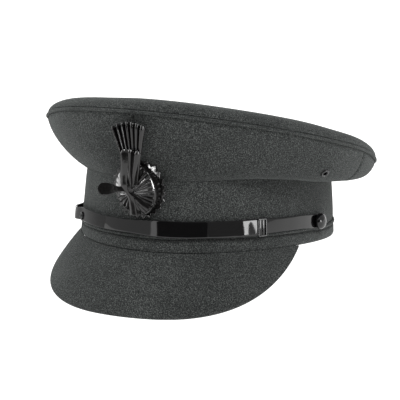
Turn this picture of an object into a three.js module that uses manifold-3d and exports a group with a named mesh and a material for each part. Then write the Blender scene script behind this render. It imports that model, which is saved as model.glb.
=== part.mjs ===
// A chauffeur's peaked cap in wool cloth, with a patent leather strap and a pleated cockade.
// Millimetres. In the cap's own frame the origin is the centre of the rim, +Z is up, the front
// faces -Y and the wearer's left is +X. An angle round the cap is 0 at the front and grows
// towards the wearer's left. At the end the cap is leaned onto its peak, as it rests on a table.

import * as THREE from 'three';
import { mergeVertices } from 'three/addons/utils/BufferGeometryUtils.js';
import Module from 'manifold-3d';

// Driving sizes
const GAP = 0.3;
const RIM = { halfLength: 104, halfWidth: 88 };
const BAND = { top: 49.2, height: 49.5, lean: 3.9, wall: 2.6 };
const FOOT_HEIGHT = 8.8;
const BAND_PIPING = { radius: 1.2, height: 10.3, sunk: 0.3 };
const WELT = { halfLength: 123, halfWidth: 116.7, back: 1.5, height: 70, tilt: 12.8, radius: 1.7 };
const TOP = { rise: 12.3, power: 10, edge: 0.9965, wall: 2, frontSwell: 0.09 };
const SIDE = { wall: 2, seamAngle: 95, seamGap: 0.4 };
const PEAK = { endAngle: 74, reach: 26, drop: 41.5, wall: 3, bulge: 2.2, taper: 0.985 };
const STRAP = { height: 17, width: 11, wall: 1.4, underStandoff: 1.8, overStandoff: 3.5 };
const SLIDE = { width: 7.3, height: 13.4, bar: 1.8, rail: 1.1, depth: 1.8, corner: 1.2 };
const BUTTON = { angle: 88.3, radius: 5.8, rise: 3.6, edge: 1.5 };
const EYELET = { angle: 74, along: 0.61, radius: 3.3, hole: 1.5, barrel: 0.7, lip: 0.4,
  flange: 0.9, lift: 0.6 };
const PRESS = 0.6;
const TABLE = { side: 400, depth: 20 };

// How far the crown side's profile bows: the share of its reach and the height over the band
// at the profile's control point
const BOW = {
  front: { share: 0.4, height: 10.5 },
  side: { share: 0.8, height: -14.5 },
  back: { share: 0.75, height: -18 },
};

// The peak's edge is one Bezier half, mirrored: the length and direction of its end tangents
const PEAK_EDGE = { frontPull: 69, endPull: 67.5, endSlant: [0.35, -1.85, -0.97] };

// Strap ends and slides, by angle round the cap
const OVER_STRAP = { from: -91, to: 51, dropFrom: -70, dropTo: -80, loopFrom: 44, loopRise: 0.7 };
const UNDER_STRAP = { from: -52, to: 91 };
const SLIDES = [
  { name: 'slide_left', angle: 54, standoff: STRAP.underStandoff + GAP },
  { name: 'slide_right', angle: -53, standoff: STRAP.overStandoff + GAP },
];

// Cockade, in its own frame: X to the wearer's left, Y up, Z forward from the ring's back
const COCKADE = { forward: 106, height: 43.5, lean: 8 };
const RING = { radius: 21, tooth: 2.4, teeth: 24, wall: 1.2 };
const ROSETTE = { radius: 17.6, base: 1.7, apex: 12, fullness: 0.75, pleats: 20, pleatDepth: 1.1,
  wall: 1.4, lift: 7 };
const FAN = { foot: 14.3, tip: 50.2, footHalf: 4.5, tipHalf: 13.5, pleats: 7, notch: 2.2, droop: 3.8,
  depth: 13.2, pleatFoot: 0.6, pleatTip: 1.5, wall: 1.6, across: 2.1, turn: 5.5 };
const FRONT_FAN = { foot: 14.6, tip: 32, footHalf: 3.1, tipHalf: 5.7, pleats: 2, notch: 2.2, droop: 0.6,
  depth: 16.8, pleatFoot: 0.5, pleatTip: 0.9, wall: 1.2, across: 2.2, turn: -7 };
const KNOT = { across: -0.9, up: 3, depth: 13.9, radii: [4.2, 3.4, 2.2], leather: 1.2 };

// The ribbon's stem from its folded top past the knot to its foot
const STEM = [
  { across: -1.9, up: 31.5, depth: 18, halfWidth: 0.7 },
  { across: -1.8, up: 22, depth: 18.2, halfWidth: 2 },
  { across: -2.4, up: 14, depth: 17.2, halfWidth: 2.4 },
  { across: -4, up: 7, depth: 14.2, halfWidth: 2.4 },
  { across: -3.2, up: 2.7, depth: 13.6, halfWidth: 2.4 },
  { across: 0.3, up: -2.5, depth: 13, halfWidth: 2.3 },
  { across: 0.9, up: -9, depth: 12, halfWidth: 2.4 },
  { across: 0.6, up: -16, depth: 10.4, halfWidth: 2.5 },
];
const TAILS = [
  { length: 22, neck: 1.9, paddle: 4.1, turn: 181, tip: 10 },
  { length: 20, neck: 2, paddle: 2.7, turn: -40, tip: -8 },
];

// Facets
const ROUND = 64;
const SMALL_ROUND = 16;
const SECTION = 6;

const cloth = new THREE.MeshStandardMaterial({ color: 0x3f4241, roughness: 0.95, metalness: 0 });
const leather = new THREE.MeshStandardMaterial({ color: 0x08080a, roughness: 0.12, metalness: 0 });
const gloss = new THREE.MeshStandardMaterial({ color: 0x0b0b0c, roughness: 0.2, metalness: 0 });

const wasm = await Module();
wasm.setup();

const { degToRad, lerp, smoothstep } = THREE.MathUtils;
const point = (x, y, z) => new THREE.Vector3(x, y, z);
const steps = (from, to, count) => Array.from({ length: count + 1 }, (_, i) => lerp(from, to, i / count));

// One closed mesh from points and triangles, without the triangles that merging collapses
function solid(points, triangles) {
  const raw = new THREE.BufferGeometry().setFromPoints(points);
  raw.setIndex(triangles);
  const merged = mergeVertices(raw, 1e-3);
  const kept = [];
  const corners = merged.index.array;
  for (let i = 0; i < corners.length; i += 3) {
    const [a, b, c] = corners.slice(i, i + 3);
    if (a !== b && b !== c && c !== a) kept.push(a, b, c);
  }
  merged.setIndex(kept);
  merged.computeVertexNormals();
  return merged;
}

// A body through a row of loops. Each loop runs up its outer side and back down its inner side.
function sweep(loops, closed) {
  const size = loops[0].length;
  const half = size / 2;
  const triangles = [];
  const quad = (a, b, c, d) => triangles.push(a, b, c, a, c, d);
  const spans = closed ? loops.length : loops.length - 1;
  for (let i = 0; i < spans; i += 1) {
    const here = i * size;
    const next = ((i + 1) % loops.length) * size;
    for (let j = 0; j < size; j += 1) {
      const up = (j + 1) % size;
      if (j < half) quad(here + j, next + j, next + up, here + up);
      else quad(next + j, next + up, here + up, here + j);
    }
  }
  if (!closed) {
    const last = (loops.length - 1) * size;
    for (let j = 0; j < half - 1; j += 1) {
      const inner = size - 1 - j;
      quad(j, j + 1, inner - 1, inner);
      quad(last + j + 1, last + j, last + inner, last + inner - 1);
    }
  }
  return solid(loops.flat(), triangles);
}

// Outward normal of a surface whose first parameter runs round and whose second runs up
function normalAt(surface, u, v) {
  const step = 1e-3;
  const top = Math.min(v, 0.99);
  const around = surface(u + step, top).sub(surface(u - step, top));
  const up = surface(u, top + step).sub(surface(u, top - step));
  return around.cross(up).normalize();
}

// A sheet of even thickness behind a surface
function wall(surface, along, across, thickness, closed = false) {
  const loops = along.map((u) => {
    const outer = across.map((v) => surface(u, v));
    const inner = across.map((v, j) => outer[j].clone().addScaledVector(normalAt(surface, u, v), -thickness));
    return [...outer, ...inner.reverse()];
  });
  return sweep(loops, closed);
}

// A round cord along a closed curve that is given with its outward direction
function cord(centreAt, outwardAt, upwards, radius) {
  const loops = steps(0, 360, ROUND).slice(0, -1).map((angle) => {
    const outward = outwardAt(angle);
    return Array.from({ length: SECTION }, (_, i) => {
      const turn = (2 * Math.PI * (i - 1)) / SECTION;
      const place = centreAt(angle).addScaledVector(outward, radius * Math.cos(turn));
      return place.addScaledVector(upwards, radius * Math.sin(turn));
    });
  });
  return sweep(loops, true);
}

function toManifold(geometry) {
  const bare = geometry.clone();
  bare.deleteAttribute('normal');
  bare.deleteAttribute('uv');
  const welded = mergeVertices(bare, 1e-3);
  const vertProperties = Float32Array.from(welded.attributes.position.array);
  const triVerts = Uint32Array.from(welded.index.array);
  return new wasm.Manifold(new wasm.Mesh({ numProp: 3, vertProperties, triVerts }));
}

function fromManifold(body) {
  const { vertProperties, triVerts } = body.getMesh();
  const geometry = new THREE.BufferGeometry();
  geometry.setAttribute('position', new THREE.BufferAttribute(vertProperties, 3));
  geometry.setIndex(new THREE.BufferAttribute(triVerts, 1));
  geometry.computeVertexNormals();
  return geometry;
}

const cut = (geometry, tool) => fromManifold(toManifold(geometry).subtract(toManifold(tool)));
const join = (geometries) => fromManifold(geometries.map(toManifold).reduce((all, next) => all.add(next)));

function piece(name, geometry, material) {
  const mesh = new THREE.Mesh(geometry, material);
  mesh.name = name;
  return mesh;
}

// Band: an oval that leans in towards its top
function outwardOf(angle) {
  const t = degToRad(angle);
  return point(Math.sin(t) / RIM.halfWidth, -Math.cos(t) / RIM.halfLength, 0).normalize();
}

function onBand(angle, height, standoff = 0) {
  const t = degToRad(angle);
  const shrink = (BAND.lean * height) / BAND.height;
  const across = (RIM.halfWidth - shrink) * Math.sin(t);
  const back = -(RIM.halfLength - shrink) * Math.cos(t);
  return point(across, back, height).addScaledVector(outwardOf(angle), standoff);
}

const fullTurn = steps(0, 360, ROUND).slice(0, -1);

function bandStrip(low, high) {
  return wall((angle, v) => onBand(angle, lerp(low, high, v)), fullTurn, [0, 1], BAND.wall, true);
}

function makeBand() {
  const pipingAt = (angle) => onBand(angle, BAND_PIPING.height, -BAND_PIPING.sunk);
  const piping = cord(pipingAt, outwardOf, point(0, 0, 1), BAND_PIPING.radius);
  const bottom = BAND_PIPING.height + BAND_PIPING.radius + GAP;
  const group = new THREE.Group();
  group.add(piece('band', bandStrip(bottom, BAND.top), cloth));
  group.add(piece('band_piping', piping, cloth));
  return group;
}

// Crown: a top panel and four side panels that meet at a corded welt
const weltTilt = degToRad(WELT.tilt);
const weltCentre = point(0, WELT.back, WELT.height);
const weltUp = point(0, Math.sin(weltTilt), Math.cos(weltTilt));

function fromWeltCentre(angle) {
  const t = degToRad(angle);
  const along = -WELT.halfLength * Math.cos(t);
  return point(WELT.halfWidth * Math.sin(t), along * Math.cos(weltTilt), -along * Math.sin(weltTilt));
}

const onWelt = (angle) => fromWeltCentre(angle).add(weltCentre);

function onTop(angle, v) {
  const share = TOP.edge * (1 - v);
  const place = fromWeltCentre(angle).multiplyScalar(share).add(weltCentre);
  const swell = 1 + TOP.frontSwell * share * Math.cos(degToRad(angle));
  return place.addScaledVector(weltUp, TOP.rise * swell * Math.sqrt(1 - share ** TOP.power));
}

// A value that passes through its front, side and back settings round the cap
function roundBow(key, angle) {
  const c = Math.cos(degToRad(angle));
  const [front, side, back] = [BOW.front[key], BOW.side[key], BOW.back[key]];
  return side + ((front - back) / 2) * c + ((front + back) / 2 - side) * c * c;
}

// The side's profile stops short of the welt by the cord's radius and the gap
function onSide(angle, v) {
  const low = onBand(angle, BAND.height);
  const high = onWelt(angle);
  const control = low.clone().lerp(high, roundBow('share', angle));
  control.z = low.z + roundBow('height', angle);
  const clear = (WELT.radius + GAP) / (2 * high.distanceTo(control));
  const profile = new THREE.QuadraticBezierCurve3(low, control, high);
  return profile.getPoint(v * (1 - clear));
}

const topSteps = [0, 0.015, 0.05, 0.11, 0.2, 0.45, 1];
const sideSteps = [0, 0.12, 0.28, 0.46, 0.64, 0.82, 1];

// Stands a geometry made along +Z on a surface, facing out
function standOn(geometry, place, outward) {
  const turn = new THREE.Quaternion().setFromUnitVectors(point(0, 0, 1), outward);
  return geometry.applyQuaternion(turn).translate(place.x, place.y, place.z);
}

function eyeletRing() {
  const { radius, hole, barrel, lip, flange, lift } = EYELET;
  const outside = hole + barrel;
  const foot = -SIDE.wall - GAP;
  const profile = [[hole, foot], [outside, foot], [outside, lift], [radius, lift],
    [radius, lift + flange / 3], [radius - flange, lift + flange], [hole + lip, lift + flange], [hole, lift]];
  const outline = [...profile, profile[0]].map(([r, z]) => new THREE.Vector2(r, z));
  return new THREE.LatheGeometry(outline, SMALL_ROUND).rotateX(Math.PI / 2);
}

function sidePanel(from, to, eyeletAngle) {
  const seam = (SIDE.seamGap / 2 / WELT.halfWidth) * THREE.MathUtils.RAD2DEG;
  const count = Math.round((ROUND * (to - from)) / 360);
  const panel = wall(onSide, steps(from + seam, to - seam, count), sideSteps, SIDE.wall);
  if (eyeletAngle === undefined) return panel;
  const bore = EYELET.hole + EYELET.barrel + GAP;
  const drill = new THREE.CylinderGeometry(bore, bore, 6 * SIDE.wall, SMALL_ROUND).rotateX(Math.PI / 2);
  const place = onSide(eyeletAngle, EYELET.along);
  return cut(panel, standOn(drill, place, normalAt(onSide, eyeletAngle, EYELET.along)));
}

function makeCrown() {
  const outwardOfWelt = (angle) => fromWeltCentre(angle).normalize();
  const { seamAngle } = SIDE;
  const group = new THREE.Group();
  group.add(piece('crown_top', wall(onTop, fullTurn, topSteps, TOP.wall, true), cloth));
  group.add(piece('crown_piping', cord(onWelt, outwardOfWelt, weltUp, WELT.radius), cloth));
  group.add(piece('quarter_front_left', sidePanel(0, seamAngle, EYELET.angle), cloth));
  group.add(piece('quarter_front_right', sidePanel(-seamAngle, 0, -EYELET.angle), cloth));
  group.add(piece('quarter_back_left', sidePanel(seamAngle, 180), cloth));
  group.add(piece('quarter_back_right', sidePanel(180, 360 - seamAngle), cloth));
  for (const [name, angle] of [['eyelet_left', EYELET.angle], ['eyelet_right', -EYELET.angle]]) {
    const outward = normalAt(onSide, angle, EYELET.along);
    group.add(piece(name, standOn(eyeletRing(), onSide(angle, EYELET.along), outward), gloss));
  }
  return group;
}

// Peak: a bowed sheet from the rim down to its curved edge
function peakEdge(u) {
  const { frontPull, endPull, endSlant } = PEAK_EDGE;
  const front = point(0, -RIM.halfLength - PEAK.reach, -PEAK.drop);
  const end = onBand(PEAK.endAngle, 0);
  const endControl = end.clone().addScaledVector(point(...endSlant).normalize(), endPull);
  const half = new THREE.CubicBezierCurve3(front, front.clone().setX(frontPull), endControl, end);
  const place = half.getPoint(Math.abs(u));
  place.x *= Math.sign(u) || 1;
  return place;
}

function onPeak(u, v) {
  const rim = onBand(u * PEAK.endAngle, 0);
  rim.z -= GAP;
  const place = peakEdge(u).lerp(rim, v);
  place.z += PEAK.bulge * 4 * v * (1 - v) * Math.cos((u * Math.PI) / 2);
  return place;
}

const makePeak = () => wall(onPeak, steps(-PEAK.taper, PEAK.taper, 36), steps(0, 1, 5), PEAK.wall);

// Strap: two straps that lie one over the other round the front
function overStandoff(angle) {
  const { dropFrom, dropTo, loopFrom, to, loopRise } = OVER_STRAP;
  const down = smoothstep(-angle, -dropFrom, -dropTo);
  const loop = smoothstep(angle, loopFrom, to);
  return lerp(STRAP.overStandoff, STRAP.underStandoff, down) + loopRise * loop;
}

function strap({ from, to }, standoffAt) {
  const low = STRAP.height - STRAP.width / 2;
  const surface = (angle, v) => onBand(angle, low + v * STRAP.width, standoffAt(angle));
  return wall(surface, steps(from, to, 40), [0, 1], STRAP.wall);
}

// A frame on the leaning band: X runs round it, Y up and Z out
function seatOnBand(angle, standoff) {
  const outward = outwardOf(angle).setZ(BAND.lean / BAND.height).normalize();
  const around = point(0, 0, 1).cross(outward).normalize();
  const up = outward.clone().cross(around);
  const seat = new THREE.Group();
  seat.position.copy(onBand(angle, STRAP.height, standoff));
  seat.quaternion.setFromRotationMatrix(new THREE.Matrix4().makeBasis(around, up, outward));
  return seat;
}

function roundedOutline(Kind, halfWidth, halfHeight, corner) {
  const outline = new Kind();
  outline.absarc(halfWidth - corner, halfHeight - corner, corner, 0, Math.PI / 2);
  outline.absarc(corner - halfWidth, halfHeight - corner, corner, Math.PI / 2, Math.PI);
  outline.absarc(corner - halfWidth, corner - halfHeight, corner, Math.PI, 1.5 * Math.PI);
  outline.absarc(halfWidth - corner, corner - halfHeight, corner, 1.5 * Math.PI, 2 * Math.PI);
  return outline;
}

function slideFrame() {
  const { width, height, bar, rail, depth, corner } = SLIDE;
  const outline = roundedOutline(THREE.Shape, width / 2, height / 2, corner);
  outline.holes.push(roundedOutline(THREE.Path, width / 2 - bar, height / 2 - rail, corner / 2));
  return new THREE.ExtrudeGeometry(outline, { depth, bevelEnabled: false, curveSegments: 3 });
}

function buttonDome() {
  const { radius, rise, edge } = BUTTON;
  const dome = steps(0, Math.PI / 2, 5)
    .map((a) => new THREE.Vector2(radius * Math.cos(a), edge + rise * Math.sin(a)));
  const profile = [new THREE.Vector2(0, 0), new THREE.Vector2(radius - edge, 0), ...dome];
  profile[profile.length - 1].x = 0;
  return new THREE.LatheGeometry(profile, SMALL_ROUND).rotateX(Math.PI / 2);
}

function makeStrap() {
  const group = new THREE.Group();
  group.add(piece('strap_over', strap(OVER_STRAP, overStandoff), leather));
  group.add(piece('strap_under', strap(UNDER_STRAP, () => STRAP.underStandoff), leather));
  for (const { name, angle, standoff } of SLIDES) {
    group.add(seatOnBand(angle, standoff).add(piece(name, slideFrame(), gloss)));
  }
  for (const [name, angle] of [['button_left', BUTTON.angle], ['button_right', -BUTTON.angle]]) {
    group.add(seatOnBand(angle, STRAP.underStandoff + GAP).add(piece(name, buttonDome(), gloss)));
  }
  return group;
}

// Cockade: a pinked ring, a pleated dome, two pleated fans and a knotted ribbon
function pinkedRing() {
  const outline = new THREE.Shape();
  const corners = Array.from({ length: 2 * RING.teeth }, (_, i) => {
    const radius = RING.radius - (i % 2) * RING.tooth;
    const turn = (Math.PI * i) / RING.teeth;
    return new THREE.Vector2(radius * Math.cos(turn), radius * Math.sin(turn));
  });
  outline.setFromPoints(corners);
  return new THREE.ExtrudeGeometry(outline, { depth: RING.wall, bevelEnabled: false });
}

function rosetteDome() {
  const { radius, base, apex, fullness, pleats, pleatDepth, wall: thickness, lift } = ROSETTE;
  const rise = (share) => (1 - share * share) ** fullness;
  const shares = [1, 0.97, 0.85, 0.6, 0.3, 0];
  const loops = steps(0, 2 * Math.PI, 2 * pleats).slice(0, -1).map((turn, i) => {
    const at = (reach, height) => point(reach * Math.cos(turn), reach * Math.sin(turn), height);
    const crease = (i % 2) * pleatDepth;
    const ceiling = apex - pleatDepth - thickness;
    const rim = base + thickness + lift * Math.max(0, Math.cos(turn));
    const outer = shares.map((s) => at(s * radius, lerp(rim, apex, rise(s)) - crease * s));
    const inner = shares.map((s) => at(s * (radius - thickness), lerp(base, ceiling, rise(s))));
    return [...outer, ...inner.reverse()];
  });
  return sweep(loops, true);
}

function pleatedFan(size) {
  const phase = (u) => Math.cos(Math.PI * size.pleats * (u + 1));
  const surface = (u, v) => {
    const notch = size.notch * (0.5 + 0.5 * phase(u)) * v ** 4;
    const tip = size.tip - size.droop * u * u - notch;
    const depth = size.depth - lerp(size.pleatFoot, size.pleatTip, v) * phase(u);
    return point(u * lerp(size.footHalf, size.tipHalf, v), lerp(size.foot, tip, v), depth);
  };
  const across = [0, 0.35, 0.7, 0.9, 1];
  const loops = steps(-1, 1, 4 * size.pleats).map((u) => {
    const outer = across.map((v) => surface(u, v));
    const inner = outer.map((place) => place.clone().setZ(place.z - size.wall));
    return [...outer, ...inner.reverse()];
  });
  const fan = sweep(loops, false).translate(0, -size.foot, 0).rotateZ(degToRad(size.turn));
  return fan.translate(size.across, size.foot, 0);
}

function ribbonStem() {
  const line = new THREE.CatmullRomCurve3(STEM.map(({ across, up, depth }) => point(across, up, depth)));
  const last = STEM.length - 1;
  const loops = steps(0, 1, 3 * last).map((t) => {
    const row = Math.min(Math.floor(t * last), last - 1);
    const half = lerp(STEM[row].halfWidth, STEM[row + 1].halfWidth, t * last - row);
    const left = line.getPoint(t).add(point(-half, 0, 0));
    const right = line.getPoint(t).add(point(half, 0, 0));
    const front = point(0, 0, KNOT.leather);
    return [left.clone().add(front), right.clone().add(front), right, left];
  });
  return sweep(loops, false);
}

function ribbonTail({ length, neck, paddle, turn, tip }) {
  const outline = new THREE.Shape();
  outline.moveTo(0, -neck);
  outline.lineTo(length * 0.4, -neck);
  outline.quadraticCurveTo(length * 0.6, -paddle, length - paddle, -paddle);
  outline.absarc(length - paddle, 0, paddle, -Math.PI / 2, Math.PI / 2);
  outline.quadraticCurveTo(length * 0.6, paddle, length * 0.4, neck);
  outline.lineTo(0, neck);
  const thickness = { depth: KNOT.leather, bevelEnabled: false, curveSegments: 4 };
  const ribbon = new THREE.ExtrudeGeometry(outline, thickness).translate(0, 0, -KNOT.leather / 2);
  ribbon.rotateY(-degToRad(tip)).rotateZ(degToRad(turn));
  return ribbon.translate(KNOT.across, KNOT.up, KNOT.depth);
}

function ribbonKnot() {
  const knot = new THREE.SphereGeometry(1, 12, 8).scale(...KNOT.radii);
  knot.translate(KNOT.across, KNOT.up, KNOT.depth);
  return join([ribbonStem(), knot, ...TAILS.map(ribbonTail)]);
}

function makeCockade() {
  const group = new THREE.Group();
  group.position.set(0, -COCKADE.forward, COCKADE.height);
  group.rotation.x = Math.PI / 2 + degToRad(COCKADE.lean);
  group.add(piece('cockade_ring', pinkedRing(), leather));
  group.add(piece('cockade_rosette', rosetteDome(), leather));
  group.add(piece('cockade_fan', pleatedFan(FAN), leather));
  group.add(piece('cockade_fan_front', pleatedFan(FRONT_FAN), leather));
  group.add(piece('cockade_knot', ribbonKnot(), leather));
  return group;
}

// Lowest height of a geometry once the cap is leaned back by an angle
function lowest(geometry, lean) {
  const place = new THREE.Vector3();
  const places = geometry.attributes.position;
  let low = Infinity;
  for (let i = 0; i < places.count; i += 1) {
    place.fromBufferAttribute(places, i);
    low = Math.min(low, place.z * Math.cos(lean) - place.y * Math.sin(lean));
  }
  return low;
}

// The lean at which the peak and the back of the rim touch the table together
function restLean(peak, foot) {
  let [less, more] = [0, Math.PI / 6];
  for (let i = 0; i < 40; i += 1) {
    const middle = (less + more) / 2;
    if (lowest(peak, middle) < lowest(foot, middle)) less = middle;
    else more = middle;
  }
  return (less + more) / 2;
}

// The cloth that meets the table is pressed flat there
const peakSheet = makePeak();
const footStrip = bandStrip(0, FOOT_HEIGHT);
const lean = restLean(peakSheet, footStrip);
const tableTop = lowest(peakSheet, lean) + PRESS;
const table = new THREE.BoxGeometry(TABLE.side, TABLE.side, TABLE.depth);
table.translate(0, 0, tableTop - TABLE.depth / 2).rotateX(lean);

const cap = new THREE.Group();
cap.rotation.x = -lean;
cap.add(makeCrown());
cap.add(makeBand().add(piece('band_foot', cut(footStrip, table), cloth)));
cap.add(piece('peak', cut(peakSheet, table), cloth));
cap.add(makeStrap());
cap.add(makeCockade());

// The origin is under the middle of the resting cap
const chauffeurCap = new THREE.Group().add(cap);
chauffeurCap.updateMatrixWorld(true);
const bounds = new THREE.Box3().setFromObject(cap, true);
const middle = bounds.getCenter(new THREE.Vector3());
cap.position.set(-middle.x, -middle.y, -bounds.min.z);

export default chauffeurCap;
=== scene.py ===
# Looks of a chauffeur's peaked cap: wool cloth, patent strap, slides, buttons and a pleated cockade.
# Sizes are millimetres in the cap's own frame, as in the part's source: origin at the rim's centre,
# +Z up, front towards -Y, wearer's left +X. The resting lean then lays every piece on the table.

import math

import bmesh
import bpy
from mathutils import Matrix, Vector, noise


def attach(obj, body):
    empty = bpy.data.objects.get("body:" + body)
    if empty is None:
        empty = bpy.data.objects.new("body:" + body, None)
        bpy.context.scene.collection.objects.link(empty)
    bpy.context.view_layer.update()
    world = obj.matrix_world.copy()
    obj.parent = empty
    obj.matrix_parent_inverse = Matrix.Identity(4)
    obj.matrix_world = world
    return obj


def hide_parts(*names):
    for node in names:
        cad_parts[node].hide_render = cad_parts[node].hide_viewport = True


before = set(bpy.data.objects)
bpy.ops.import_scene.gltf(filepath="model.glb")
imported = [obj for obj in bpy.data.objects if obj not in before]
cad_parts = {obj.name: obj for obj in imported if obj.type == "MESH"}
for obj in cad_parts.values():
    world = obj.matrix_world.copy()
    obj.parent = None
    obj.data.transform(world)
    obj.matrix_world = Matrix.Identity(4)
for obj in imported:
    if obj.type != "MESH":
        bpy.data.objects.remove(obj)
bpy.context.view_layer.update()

MM = 0.001
GAP = 0.3

# Cloth
RIM = {"length": 104, "width": 88}
BAND_LIFT = 2
BAND_DROP = 2
PIPING_LIFT = 1.8
BAND = {"top": 49.2, "height": 49.5, "lean": 3.9, "wall": 2.6}
FOOT_HEIGHT = 8.8
FOOT_RISE = {"height": 2.1, "ends": 150}
CROWN_CORD = {"radius": 1.15, "share": 0.995, "seat": 0.95}
HANG = {"back": 3.1, "right": 2.0}
BAND_PIPING = {"radius": 1.2, "height": 10.3, "sunk": 0.3}
WELT = {"length": 124.5, "width": 118.2, "back": 1.5, "height": 70, "tilt": 12.8}
TOP = {"rise": 11.8, "power": 10, "shoulder": 0.38, "edge": 0.9996, "wall": 2, "front_swell": 0.09,
       "sink": 0.9, "out": 120}
SIDE = {"wall": 2, "seam_angle": 93, "seam_gap": 0.4, "out": 110, "tall": 50}
PEAK = {"end_angle": 75.5, "reach": 26, "drop": 41.5, "wall": 3, "bulge": 2.2, "taper": 0.998}
PEAK_EDGE = {"front_pull": 69, "end_pull": 67.5, "end_slant": (0.35, -1.85, -0.97)}
# Uneven cloth and leather: how far apart the ripples are and how deep, and how deep seams draw cloth in
RIPPLE = {"top": (45, 0.5), "side": (38, 0.7), "band": (40, 0.35), "peak": (50, 0.5), "strap": (22, 0.08)}
TUCK = {"top": 0.3, "side_ends": 0.9, "side_low": 0.08, "side_high": 1.2}
# How the crown's side bows at the front, sides and back, and on the wearer's right
BOW = {"share": (0.4, 0.78, 0.55), "height": (10.5, -14.8, -14)}
RIGHT_BOW = {"share": 0.75, "height": 11.5}

# Strap, slides, buttons and eyelets
STRAP = {"height": 16.55, "width": 11.5, "wall": 1.4, "under": 1.8, "over": 3.5}
OVER_STRAP = {"from": -91, "to": 51.6, "drop_from": -57, "drop_to": -66, "loop_from": 43.3, "loop_to": 44.6,
              "loop_rise": 0.7}
UNDER_STRAP = {"from": -52, "to": 91}
STRAP_BULGE = {"from": -40, "to": -51, "rise": 2.2}
# How the strap climbs and narrows round the cap: from one angle to another, and by how much
STRAP_CLIMB = [(12, 62, 1.75), (74, 90, -1.75), (-18, -36, 0.45), (-42, -54, -1.8)]
STRAP_NARROWING = [(12, -8, -2.5), (46, 68, -2), (-42, -54, -0.9)]
HIDDEN_NARROWING = [(50, 44, -4.5)]
SLIDE = {"width": 7.3, "height": 12.6, "bar": 1.1, "rail": 1.0, "depth": 1.8, "corner": 1.2, "roll": 0.95,
         "rolls": (-1.45, 1.1), "roll_height": 1.15, "below": 0.5, "left_angle": 54, "right_angle": -53,
         "right_share": 0.55}
STUD = {"angle": -41.5, "radius": 3.0, "rise": 0.6, "below": 1.2}
BUTTON = {"angle": 88.3, "radius": 5.8, "rise": 3.6, "edge": 1.5}
EYELET = {"angle": 74, "along": 0.61, "radius": 3.3, "hole": 1.5, "barrel": 0.7, "flange": 0.9, "lift": 0.6}

# Cockade
COCKADE = {"forward": 106, "height": 43.5, "lean": 8}
RING = {"radius": 21, "hole": 6, "flat": 15.5, "base": 1.2, "tooth": 2.4, "teeth": 24, "wall": 1.0}
RING_CURL = {"rise": 1.6, "tooth": 0.7, "bent": -1.1, "bends": (35, 190), "wave": 0.7, "waves": 5}
ROSETTE = {"radius": 17.6, "base": 1.7, "apex": 12, "fullness": 0.75, "pleats": 28, "depth": 1.6,
           "wall": 1.0, "lift": 7, "wall_share": 0.25, "fold": 0.9, "waist": 0.8, "cord": 0.85,
           "cord_inset": 0.7}
FAN = {"foot": 6, "tip": 50.2, "foot_half": 2.4, "tip_half": 13.5, "pleats": 7, "notch": 2.2, "droop": 3.8,
       "foot_depth": 13, "depth": 13.2, "pleat_foot": 0.4, "pleat_tip": 1.5, "wall": 0.9, "across": 2.9,
       "turn": 5.5, "fullness": (0.85, 1.9)}
FRONT_FAN = {"foot": 5, "tip": 32, "foot_half": 1.6, "tip_half": 5.7, "pleats": 2, "notch": 2.2,
             "droop": 0.6, "foot_depth": 14.3, "depth": 16.6, "pleat_foot": 0.4, "pleat_tip": 1.4,
             "wall": 0.8, "across": 1.6, "turn": -7, "fullness": (0.8, 1.1)}
KNOT = {"across": -0.9, "up": 3, "depth": 13.9, "radii": (3.8, 2.8, 1.2), "leather": 1.2}
STEM = [{"across": -1.9, "up": 31.5, "depth": 17.4, "half": 1.6},
        {"across": -1.8, "up": 22, "depth": 17.6, "half": 2},
        {"across": -2.4, "up": 14, "depth": 16.4, "half": 2.4},
        {"across": -4, "up": 7, "depth": 14.2, "half": 2.4},
        {"across": -3.2, "up": 2.7, "depth": 13.6, "half": 2.4},
        {"across": 0.3, "up": -2.5, "depth": 13, "half": 2.3},
        {"across": 0.9, "up": -9, "depth": 12, "half": 2.4},
        {"across": 0.6, "up": -16, "depth": 10.4, "half": 2.5}]
TAILS = [{"length": 22, "neck": 1.9, "paddle": 4.3, "turn": 181, "tip": 16, "twist": 9, "dish": 0.1,
          "aside": 0, "above": 0},
         {"length": 21, "neck": 1.5, "paddle": 1.9, "turn": -37, "tip": -8, "twist": -18, "dish": 0.2,
          "aside": -3.2, "above": -1.2}]
# The stem's folded top: how far it reaches, where it hinges, how it falls and how its end rolls
STEM_FOLD = {"reach": 0.4, "hinge": (0.6, -0.7), "aside": 1.35, "fall": 1.9, "round": 0.08, "roll": 0.05}

# How the cap rests: leaned back on its peak and the back of its rim
LEAN = math.radians(10.501923)
REST = Matrix.Translation((0, 0.0033121, 0.0183559)) @ Matrix.Rotation(-LEAN, 4, "X")
SEAT = Matrix.Translation((0, -COCKADE["forward"] * MM, COCKADE["height"] * MM))
BADGE = REST @ SEAT @ Matrix.Rotation(math.radians(90 + COCKADE["lean"]), 4, "X")

# The photograph's camera against the cap
CAMERA = {"turn": 26.863, "rise": 8.172, "roll": 1.632, "scale": 1.382, "distance": 1900, "lens": 236.3,
          "sensor": 36, "rim": (208.1, 231.8), "middle": 200}

# Wool: the ramp from dark fibres to pale ones, and the three ways that loose strands lie and are stretched
WOOL_TONES = [(0.0, (0.005, 0.0056, 0.0055)), (0.35, (0.017, 0.0186, 0.0182)),
              (0.62, (0.041, 0.0442, 0.0433)), (1.0, (0.125, 0.13, 0.126))]
STRAND_WAYS = [((0, 0, 20), (0.4, 1.7, 1.7)), ((30, 0, 75), (1.7, 0.4, 1.7)),
               ((0, 35, 130), (1.7, 1.7, 0.4))]

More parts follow.
